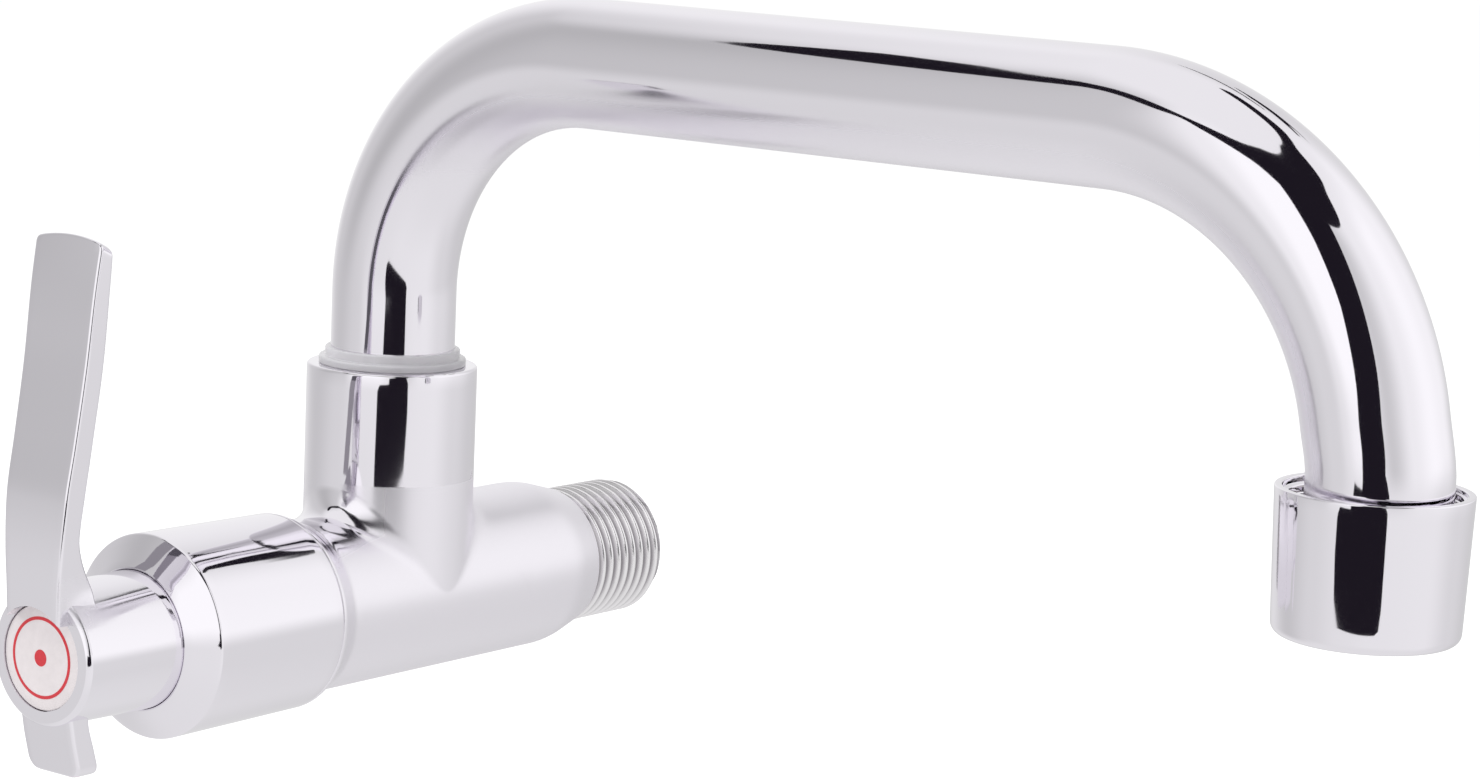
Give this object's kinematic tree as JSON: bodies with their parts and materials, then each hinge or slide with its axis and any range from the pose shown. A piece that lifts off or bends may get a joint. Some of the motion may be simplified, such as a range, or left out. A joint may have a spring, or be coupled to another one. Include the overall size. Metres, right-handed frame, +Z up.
{
  "type": "wall-mounted kitchen tap",
  "caption": "Chrome wall-mounted tap with a lever that turns a ceramic cartridge, a long swivelling tube spout with an aerator cup, and a threaded inlet at the back.",
  "frame": {"origin": "centre of the inlet thread where it starts, on the wall fitting's face", "axes": "+Y into the wall along the inlet thread, -Y out to the handle, +Z up, +X along the spout at rest"},
  "size_m": [0.1892, 0.1228, 0.1065],
  "materials": {
    "chrome_plated_brass": "polished",
    "chrome_plated_zinc": "polished",
    "turned_brass": "satin",
    "black_rubber": "matte",
    "white_plastic": "satin",
    "disc_ceramic": "satin",
    "clear_plastic": "gloss",
    "pearl_plastic": "gloss",
    "stainless_steel": "satin"
  },
  "bodies": {
    "tap_body": {"tap_body": "chrome_plated_brass", "bonnet_cap": "chrome_plated_brass", "headwork_body": "turned_brass", "headwork_o_ring": "black_rubber", "seat_seal": "black_rubber", "seal_support_ring": "white_plastic", "fixed_disc": "disc_ceramic", "glide_washer": "white_plastic"},
    "handle": {"lever_handle": "chrome_plated_zinc", "index_button": "pearl_plastic", "handle_screw": "stainless_steel", "spindle": "turned_brass", "spindle_o_ring_inner": "black_rubber", "spindle_o_ring_outer": "black_rubber", "spindle_circlip": "stainless_steel", "moving_disc": "disc_ceramic"},
    "spout": {"spout_tube": "chrome_plated_brass", "spout_ferrule": "turned_brass", "spout_o_ring_lower": "black_rubber", "spout_o_ring_upper": "black_rubber", "spout_split_ring": "white_plastic", "glide_ring": "clear_plastic", "tube_end_collar": "turned_brass", "outlet_cup": "chrome_plated_brass", "aerator_gasket": "black_rubber", "aerator_body": "white_plastic", "aerator_screen": "stainless_steel", "flow_straightener": "white_plastic"}
  },
  "joints": [
    {"name": "handle_turn", "type": "hinge", "parent": "tap_body", "child": "handle", "pos_m": [0, -0.1, 0], "axis": [0, -1, 0], "range_deg": [0, 90]},
    {"name": "spout_swivel", "type": "hinge", "parent": "tap_body", "child": "spout", "pos_m": [0, -0.0383, 0], "axis": [0, 0, 1], "continuous": true}
  ]
}
